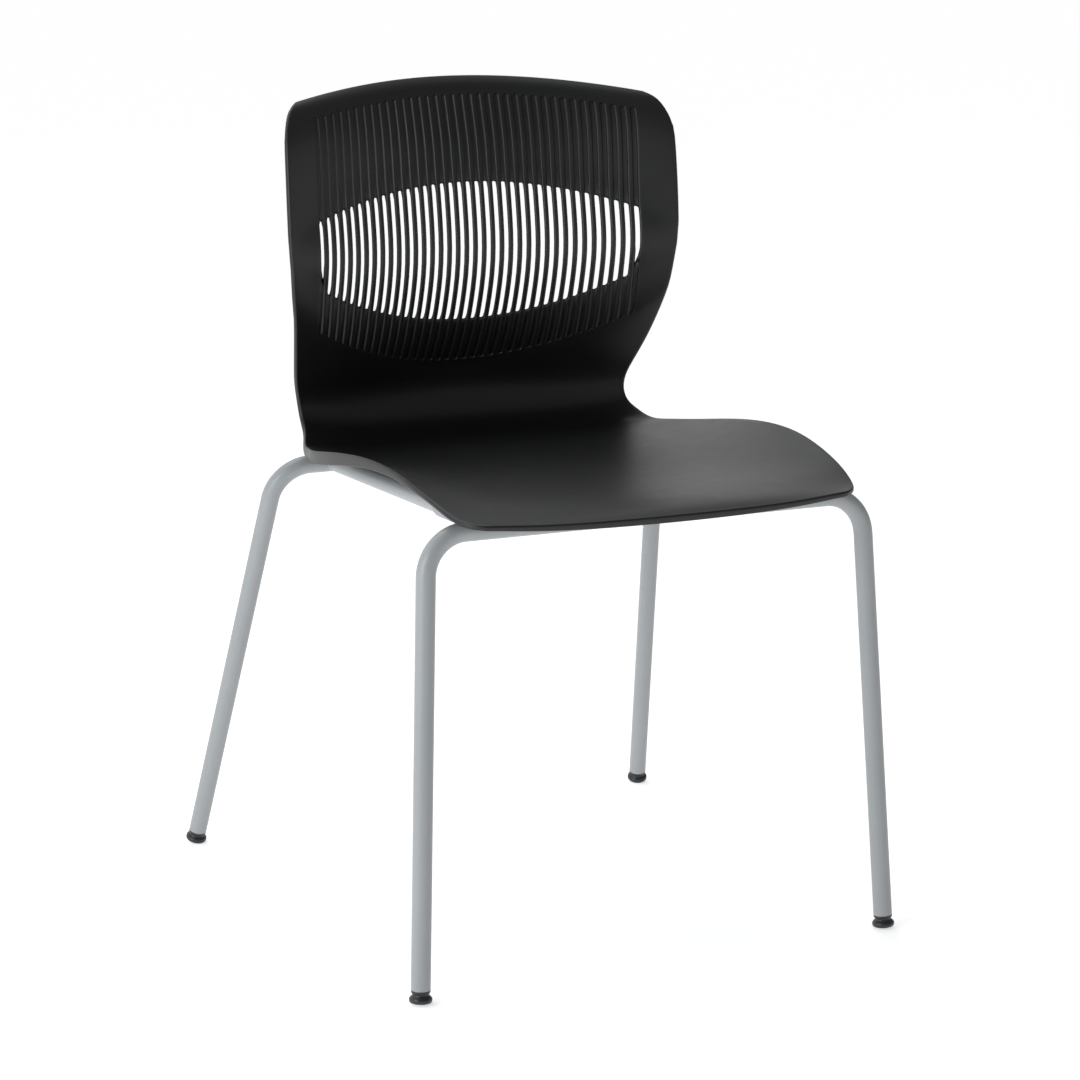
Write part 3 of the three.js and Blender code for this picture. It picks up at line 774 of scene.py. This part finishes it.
def thin_columns(piece):
    """Takes the grooves' finer columns out of the grid below and above the grooves."""
    shape(piece, "EDGE")
    mesh = bmesh.from_edit_mesh(piece.data)
    column_of, row_of = layers_of(mesh)[:2]
    for edge in mesh.edges:
        first, second = edge.verts
        same_column = first[column_of] == second[column_of]
        rows = sorted((first[row_of], second[row_of]))
        plain = rows[1] <= FIRST_GROOVE_ROW or rows[0] >= LAST_GROOVE_ROW
        edge.select_set(same_column and plain and not column_kept(first[column_of]))
    bmesh.update_edit_mesh(piece.data)
    bpy.ops.mesh.dissolve_edges(use_verts=True, use_face_split=False)
    shaped(piece, outward=False)


def keys_of(piece):
    data = piece.data.attributes
    columns_and_rows = zip(data["column"].data, data["row"].data)
    return [(column.value, row.value) for column, row in columns_and_rows]


def shape_face_and_back(piece):
    """Bends the grid to the sitter's face and gives it its back, and returns its columns and rows."""
    keys = keys_of(piece)
    spots = [Spot(*key) for key in keys]
    for vertex, spot in zip(piece.data.vertices, spots):
        vertex.co = spot.place(spot.face_depth()) * MM
    modified(piece, "SOLIDIFY", thickness=MM, offset=-1)
    vertices = piece.data.vertices
    for i, spot in enumerate(spots):
        vertices[len(spots) + i].co = spot.place(spot.back_depth()) * MM
        piece.data.attributes["side"].data[len(spots) + i].value = 1
    return set(keys)


def outline_keys(keys):
    """Columns and rows of the outline, once round."""
    top = ROW_COUNT - 1
    ring = [(column, 0) for column in range(LAST_COLUMN)]
    ring += [(LAST_COLUMN, row) for row in range(top)]
    ring += [(column, top) for column in range(LAST_COLUMN, 0, -1)]
    ring += [(0, row) for row in range(top, 0, -1)]
    return [key for key in ring if key in keys]


def seat_edge(rim, inner):
    """The hanging rim: a rounded corner, the wall and its rounded foot, as (outward, down)."""
    foot = rim - RIM_FOOT
    quarter = [math.radians(degrees) for degrees in (30, 60, 90)]
    if inner:
        outward = SEAT_ROUND - RIM_WALL
        foot_way = -1
        fillet = min(RIM_FILLET, (foot - SKIN) * 0.6)
        bulge = fillet * (1 - math.sqrt(0.5))
        points = [(-fillet, 0), (-bulge, bulge), (0, fillet), (0, fillet * 1.1)]
        points = [(outward + a, SKIN + b) for a, b in points]
        points += [(outward, between(points[-1][1], foot, 0.8)), (outward, foot)]
    else:
        outward = SEAT_ROUND
        foot_way = 1
        points = [(0, 0)]
        points += [(SEAT_ROUND * math.sin(turn), SEAT_ROUND * (1 - math.cos(turn))) for turn in quarter]
        points += [(outward, between(SEAT_ROUND, foot, 0.25)), (outward, foot)]
    for turn in quarter:
        inward = foot_way * RIM_FOOT * (1 - math.cos(turn))
        points.append((outward - inward, foot + RIM_FOOT * math.sin(turn)))
    return points


def back_edge(inner):
    """The rounded edge of the back: one half of it on each side of its middle."""
    points = []
    for i in range(RIM_STEPS + 1):
        angle = math.radians(EDGE_TURN) * i / RIM_STEPS
        down = BACK_ROUND * (1 - math.cos(angle))
        points.append((BACK_ROUND * math.sin(angle), EDGE_SKIN - down if inner else down))
    return points


def edge_rings(keys):
    """For every point of the outline, on both sides, the places of its rings round the edge."""
    ring = outline_keys(keys)
    spots = [Spot(*key) for key in ring]
    faces = [spot.place(0) for spot in spots]
    rings = {}
    for i, (key, spot) in enumerate(zip(ring, spots)):
        along = (faces[(i + 1) % len(ring)] - faces[i - 1]).normalized()
        normal = face_normal(spot.x, spot.t)
        outward = along.cross(normal).normalized()
        level = Vector((outward.x, outward.y, 0)).normalized()
        roll = spot.section.roll
        down = between(-UP, -normal, roll).normalized()
        outward = between(level, outward, roll).normalized()
        rim = spot.section.rim
        if key[1] == 0:
            rim += LIP_EXTRA * (1 - (spot.x / spot.section.edge.x) ** 2)
        for side in (0, 1):
            seat = seat_edge(rim, side == 1)
            back = back_edge(side == 1)
            places = []
            for (a, b), (c, d) in zip(seat, back):
                places.append(faces[i] + outward * between(a, c, roll) + down * between(b, d, roll))
            rings[(*key, side)] = places
    return rings


def turn_edge(piece, rings):
    """The band round the outline is drawn out ring by ring over the edge."""
    shape(piece, "FACE")
    mesh = bmesh.from_edit_mesh(piece.data)
    layers = layers_of(mesh)
    for face in mesh.faces:
        keys = [tuple(vertex[layer] for layer in layers) for vertex in face.verts]
        on_edge = all(key in rings for key in keys)
        face.select_set(on_edge and {key[2] for key in keys} == {0, 1})
    for vertex in mesh.verts:
        key = tuple(vertex[layer] for layer in layers)
        if key in rings and key[2] == 1:
            vertex.co = rings[key][0] * MM
    bmesh.update_edit_mesh(piece.data)
    for step in range(1, RIM_STEPS + 1):
        bpy.ops.mesh.extrude_region()
        mesh = bmesh.from_edit_mesh(piece.data)
        layers = layers_of(mesh)
        for vertex in mesh.verts:
            if vertex.select:
                vertex.co = rings[tuple(vertex[layer] for layer in layers)][step] * MM
        bmesh.update_edit_mesh(piece.data)
    shaped(piece)


def shell(material):
    piece = shell_grid()
    cut_slots(piece)
    thin_columns(piece)
    keys = shape_face_and_back(piece)
    turn_edge(piece, edge_rings(keys))
    smooth(piece, 40)
    return finished(piece, material, "shell_plastic", "seat_back_shell")


# ------------------------------------------------------------ the frame of tubes

class Legs:
    """The bent tube of one pair of legs with the bar between them."""

    def __init__(self, sizes):
        self.sizes = sizes
        self.lean = Vector((0, sizes["lean_back"], 1)).normalized()

    def up(self, side):
        return Vector((-side * self.sizes["lean_in"], self.sizes["lean_back"], 1)).normalized()

    def at_height(self, side, z):
        rise = z - LEAN_FROM
        x = side * (self.sizes["half"] - self.sizes["lean_in"] * rise)
        return Vector((x, self.sizes["y"] + self.sizes["lean_back"] * rise, z))

    def foot(self, side):
        height = GLIDE_DOME - (GLIDE_DOME - GLIDE_LENGTH) * self.up(side).z
        return self.at_height(side, height)

    def corner(self, side):
        return self.at_height(side, self.sizes["bar"])

    def bar_y(self):
        return self.corner(1).y


def circle_at(centre, direction, radius, sides, fill="NOTHING"):
    """A circle square to a direction, for a tube that starts there."""
    nothing_selected()
    turn = direction.to_track_quat("Z", "Y").to_euler()
    bpy.ops.mesh.primitive_circle_add(
        vertices=sides, radius=radius * MM, fill_type=fill, location=centre * MM, rotation=turn,
    )
    bpy.ops.object.transform_apply(location=True, rotation=True, scale=True)
    return bpy.context.object


def run_on(move):
    """Draws the selection out by a move."""
    bpy.ops.mesh.extrude_region_move(TRANSFORM_OT_translate={"value": move * MM})


def turned_on(outline, radius, height):
    """Draws the selected ring out upwards through the radii and heights of an outline."""
    for next_radius, next_height in outline:
        run_on(UP * (next_height - height))
        wider = next_radius / radius
        bpy.ops.transform.resize(value=(wider, wider, 1), center_override=(0, 0, next_height * MM))
        radius, height = next_radius, next_height


def bend(centre, axis, angle):
    bpy.ops.mesh.spin(steps=BEND_STEPS, angle=-angle, center=centre * MM, axis=axis)


def leg_tube(name, legs, material, node):
    """From the left foot up, over the bar and down to the right foot."""
    foot, corner = legs.foot(-1), legs.corner(-1)
    up = legs.up(-1)
    across = Vector((1, 0, 0))
    turn = up.angle(across)
    reach = BEND_RADIUS * math.tan(turn / 2)
    axis = up.cross(across).normalized()
    piece = circle_at(foot, up, TUBE_RADIUS, TUBE_SIDES)
    named(name)
    shape(piece, "VERT")
    bpy.ops.mesh.select_all(action="SELECT")
    straight = (corner - foot).length - reach
    run_on(up * straight)
    bend_start = foot + up * straight
    bend(bend_start + axis.cross(up) * BEND_RADIUS, axis, turn)
    run_on(across * (legs.corner(1) - corner).length - across * 2 * reach)
    second_start = legs.corner(1) - across * reach
    bend(second_start + axis.cross(across) * BEND_RADIUS, axis, turn)
    run_on(-legs.up(1) * straight)
    bpy.ops.mesh.select_all(action="SELECT")
    bpy.ops.mesh.remove_doubles(threshold=0.01 * MM)
    shaped(piece)
    modified(piece, "SOLIDIFY", thickness=TUBE_WALL * MM, offset=-1)
    smooth(piece, 40)
    return finished(piece, material, "frame_paint", node)


def weld_swell(angle):
    """How far a weld's bead stands out round a joint, with the ripples a welder leaves."""
    return WELD_SIZE * abs(math.cos(angle)) + WELD_RIPPLE_HEIGHT * math.sin(WELD_RIPPLES * angle)


def rail_line(side):
    """Where a rail's centre line meets the centre lines of the two bars."""
    front = Vector((side * RAIL_X, front_legs.bar_y(), FRONT_LEGS["bar"]))
    rear = Vector((side * RAIL_X, rear_legs.bar_y(), REAR_LEGS["bar"]))
    return front, rear


def side_rail(name, side, material, node):
    """A straight tube between the bars, its ends coped round them and spread by their welds."""
    front, rear = rail_line(side)
    along = (rear - front).normalized()
    length = (rear - front).length
    piece = circle_at(front, along, TUBE_RADIUS, TUBE_SIDES, "NGON")
    named(name)
    shape(piece, "FACE")
    bpy.ops.mesh.select_all(action="SELECT")
    last = 0
    for place in (*RAIL_END_RINGS[1:], *[length - ring for ring in reversed(RAIL_END_RINGS)]):
        run_on(along * (place - last))
        last = place
    shaped(piece)
    for vertex in piece.data.vertices:
        centre_line = (vertex.co / MM - front).dot(along)
        near, way = (front, 1) if centre_line < length / 2 else (rear, -1)
        from_end = centre_line if way == 1 else length - centre_line
        if from_end > RAIL_END_RINGS[-1] + WELD_OVERLAP:
            continue
        out = vertex.co / MM - front - along * centre_line
        angle = math.atan2(out.z, out.x)
        swell = weld_swell(angle) * (1 - from_end / RAIL_END_RINGS[-1]) ** 2
        out *= 1 + swell / TUBE_RADIUS
        rise = min(abs(out.z), TUBE_RADIUS - WELD_OVERLAP / 2)
        contact = math.sqrt(TUBE_RADIUS ** 2 - rise ** 2) - WELD_OVERLAP
        vertex.co = (near + along * way * (contact + from_end) + out) * MM
    smooth(piece, 50)
    return finished(piece, material, "frame_paint", node)


def glide():
    """The plug of the tube's foot, upright, with the tube's end at the origin."""
    nothing_selected()
    (radius, height), *rest = GLIDE_OUTLINE
    bpy.ops.mesh.primitive_circle_add(
        vertices=TUBE_SIDES, radius=radius * MM, fill_type="NGON", location=(0, 0, height * MM),
    )
    bpy.ops.object.transform_apply(location=True, rotation=True, scale=True)
    piece = named("glide")
    shape(piece, "FACE")
    bpy.ops.mesh.select_all(action="SELECT")
    turned_on(rest, radius, height)
    shaped(piece)
    smooth(piece, 38)
    return piece


def bumper():
    """A clip of soft plastic under a rail along Y, open at the top."""
    nothing_selected()
    bpy.ops.mesh.primitive_cylinder_add(
        vertices=TUBE_SIDES, radius=BUMPER_BORE * MM, depth=BUMPER_LENGTH * MM, end_fill_type="NOTHING",
    )
    piece = named("bumper")
    shape(piece, "FACE")
    pick(piece, "faces", lambda face: face.normal.y > math.sin(math.radians(BUMPER_WRAP - 90)))
    bpy.ops.mesh.delete(type="FACE")
    shaped(piece)
    modified(piece, "SOLIDIFY", thickness=BUMPER_WALL * MM, offset=1)
    shape(piece, "EDGE")
    pick(piece, "edges", lambda edge: edge.calc_face_angle(0) > math.radians(50))
    bpy.ops.mesh.bevel(offset=BUMPER_BEVEL * MM, segments=3, affect="EDGES")
    shaped(piece)
    smooth(piece, 40)
    return piece


def tab(name, node, material):
    """A small plate on the rail that takes a screw, with its free corners rounded."""
    low, high = [Vector(corner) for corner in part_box(node)]
    inner = low.x if low.x > 0 else high.x
    nothing_selected()
    bpy.ops.mesh.primitive_cube_add(size=1, location=(low + high) / 2, scale=high - low)
    bpy.ops.object.transform_apply(location=True, rotation=True, scale=True)
    piece = named(name)
    shape(piece, "EDGE")
    pick(piece, "edges", lambda edge: upright_at(edge, inner))
    bpy.ops.mesh.bevel(offset=TAB_CORNER * MM, segments=6, affect="EDGES")
    pick(piece, "edges", lambda edge: edge.calc_face_angle(0) > math.radians(60))
    bpy.ops.mesh.bevel(offset=TAB_BEVEL * MM, segments=2, affect="EDGES")
    shaped(piece)
    smooth(piece, 30)
    return finished(piece, material, "frame_paint", node)


def upright_at(edge, x):
    """Whether an edge stands upright at this x."""
    first, second = [vertex.co for vertex in edge.verts]
    at_x = abs(first.x - x) < MM / 10 and abs(second.x - x) < MM / 10
    return at_x and abs(first.z - second.z) > MM


def hexagon(angle):
    """Distance from the middle of the key's hole to its side, in a direction."""
    turn = (angle + math.pi / 6) % (math.pi / 3) - math.pi / 6
    return SCREW_KEY / math.cos(turn)


def screw():
    """The head under a tab, hanging down from the origin, with its washer and its key's hole."""
    nothing_selected()
    bpy.ops.mesh.primitive_circle_add(vertices=SCREW_SIDES, radius=WASHER_RADIUS * MM, fill_type="NGON")
    piece = named("screw")
    shape(piece, "FACE")
    bpy.ops.mesh.select_all(action="SELECT")
    turned_on(SCREW_OUTLINE, WASHER_RADIUS, 0)
    mesh = bmesh.from_edit_mesh(piece.data)
    for vertex in mesh.verts:
        if vertex.select:
            angle = math.atan2(vertex.co.y, vertex.co.x)
            vertex.co.x = hexagon(angle) * math.cos(angle) * MM
            vertex.co.y = hexagon(angle) * math.sin(angle) * MM
    bmesh.update_edit_mesh(piece.data)
    run_on(UP * SCREW_HOLE)
    shaped(piece)
    smooth(piece, 35)
    return piece


def underside_at(x, y):
    """Height of the seat's underside over a point of the floor."""
    t = 0
    while face_point(x, t).y < y:
        t += 1
    return face_point(x, t).z - SKIN


def gusset(height, degrees):
    """A fin beside a boss that stands on the origin, turned about it."""
    nothing_selected()
    bpy.ops.mesh.primitive_cube_add(size=MM)
    fin = named("gusset")
    fin.data.transform(Matrix.Diagonal((GUSSET_REACH, GUSSET_WALL, height - BOSS_SUNK, 1)))
    middle = Vector((GUSSET_REACH / 2, 0, (height + BOSS_ROOT * 2) / 2))
    fin.data.transform(Matrix.Translation(middle * MM))
    shape(fin, "FACE")
    pick(fin, "faces", lambda face: face.normal.z < -0.9)
    bpy.ops.transform.resize(value=GUSSET_TOE, center_override=(0, 0, 0))
    shaped(fin)
    fin.data.transform(Matrix.Rotation(math.radians(degrees), 4, "Z"))
    modified(fin, "BEVEL", width=GUSSET_BEVEL * MM, segments=2)
    return fin


def boss(name, place, top, material):
    """A moulded post from the seat down to its tab, with four gussets."""
    height = top - place.z
    nothing_selected()
    bpy.ops.mesh.primitive_circle_add(vertices=SCREW_SIDES, radius=BOSS_RADIUS * MM, fill_type="NGON")
    piece = named(name)
    shape(piece, "FACE")
    bpy.ops.mesh.select_all(action="SELECT")
    run_on(UP * (height - BOSS_ROOT))
    bpy.ops.transform.resize(value=(BOSS_DRAFT, BOSS_DRAFT, 1), center_override=(0, 0, 0))
    run_on(UP * (BOSS_ROOT + BOSS_SUNK))
    bpy.ops.transform.resize(value=(BOSS_FLARE, BOSS_FLARE, 1), center_override=(0, 0, 0))
    shaped(piece)
    for degrees in (45, 135, 225, 315):
        gusset(height, degrees).select_set(True)
        piece.select_set(True)
        bpy.context.view_layer.objects.active = piece
        bpy.ops.object.join()
    piece.data.transform(Matrix.Translation(place * MM))
    smooth(piece, 35)
    return finished(piece, material, "shell_plastic")


def small_parts(plastic, paint, nylon, soft, zinc):
    """Glides, bumpers, tabs, screws and bosses: glides, bumpers and screws modelled once and copied to their
    places, tabs and bosses made at each place.
    """
    plug, clip, fixing = glide(), bumper(), screw()
    for hand in ("left", "right"):
        low, high = rail_line(math.copysign(1, middle_of(f"stacking_bumper_{hand}").x))
        along = (high - low).normalized()
        on_rail = low + along * (middle_of(f"stacking_bumper_{hand}").y - low.y) / along.y
        sleeve = copied(clip, f"bumper_{hand}", upright_on(on_rail, along))
        finished(sleeve, soft, "bumper_plastic", f"stacking_bumper_{hand}")
    for end, legs in (("front", front_legs), ("rear", rear_legs)):
        for hand in ("left", "right"):
            corner = f"{end}_{hand}"
            side = math.copysign(1, middle_of(f"glide_{corner}").x)
            foot = copied(plug, f"glide_cap_{corner}", upright_on(legs.foot(side), legs.up(side)))
            finished(foot, nylon, "glide_nylon", f"glide_{corner}")
            tab(f"tab_{corner}", f"mounting_tab_{corner}", paint)
            head = middle_of(f"shell_screw_{corner}")
            tab_low, tab_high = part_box(f"mounting_tab_{corner}")
            under_tab = Matrix.Translation((head.x * MM, head.y * MM, tab_low[2]))
            fastener = copied(fixing, f"screw_{corner}", under_tab)
            finished(fastener, zinc, "zinc_steel", f"shell_screw_{corner}")
            post = Vector((head.x, head.y, tab_high[2] / MM))
            boss(f"boss_{corner}", post, underside_at(abs(head.x), head.y), plastic)
    for piece in (plug, clip, fixing):
        discarded(piece)


# ------------------------------------------------------------ the picture

def floor(material):
    nothing_selected()
    bpy.ops.mesh.primitive_plane_add(size=FLOOR_SIZE)
    piece = named("floor")
    piece.data.materials.append(material)


def softbox(name, place, target, width, height, power):
    nothing_selected()
    bpy.ops.object.light_add(type="AREA", location=place)
    lamp = bpy.context.object
    lamp.name = name
    lamp.data.shape = "RECTANGLE"
    lamp.data.size = width
    lamp.data.size_y = height
    lamp.data.energy = power
    lamp.data.color = SOFTBOX_COLOUR
    lamp.rotation_euler = (Vector(target) - Vector(place)).to_track_quat("-Z", "Y").to_euler()


def room():
    """The world: bright towards the wall, and dim away from it."""
    world = bpy.data.worlds.new("studio")
    world.use_nodes = True
    nodes = Nodes(world.node_tree)
    way = nodes.node("ShaderNodeTexCoord", {}, {}, "Generated")
    wall = {0: way, 1: BRIGHT_WALL}
    facing = nodes.node("ShaderNodeVectorMath", {"operation": "DOT_PRODUCT"}, wall, "Value")
    shares = {"From Min": DIM_UNTIL, "From Max": BRIGHT_FROM, "To Min": DIM_ROOM, "To Max": BRIGHT_ROOM}
    smoothed = {"interpolation_type": "SMOOTHSTEP"}
    brightness = nodes.node("ShaderNodeMapRange", smoothed, {"Value": facing, **shares})
    background = world.node_tree.nodes["Background"]
    nodes.feed(background.inputs["Strength"], brightness)
    nodes.feed(background.inputs["Color"], WHITE)
    bpy.context.scene.world = world


def camera():
    bpy.ops.object.camera_add(location=CAMERA_PLACE)
    eye = bpy.context.object
    aim = Vector(CAMERA_AIM) - Vector(CAMERA_PLACE)
    eye.rotation_euler = aim.to_track_quat("-Z", "Y").to_euler()
    eye.data.lens = CAMERA_LENS
    eye.data.sensor_width = CAMERA_SENSOR
    eye.data.clip_end = CAMERA_REACH
    bpy.context.scene.camera = eye


def studio():
    floor(floor_paper())
    room()
    for box in SOFTBOXES:
        softbox(*box)
    camera()
    bpy.context.scene.view_settings.view_transform = "Standard"


plastic = shell_plastic()
paint = frame_paint()
front_legs = Legs(FRONT_LEGS)
rear_legs = Legs(REAR_LEGS)
shell(plastic)
leg_tube("front_tube", front_legs, paint, "front_leg_tube")
leg_tube("rear_tube", rear_legs, paint, "rear_leg_tube")
for hand in ("left", "right"):
    hand_side = math.copysign(1, middle_of(f"side_rail_{hand}").x)
    side_rail(f"rail_{hand}", hand_side, paint, f"side_rail_{hand}")
small_parts(plastic, paint, glide_nylon(), bumper_plastic(), zinc_steel())
studio()
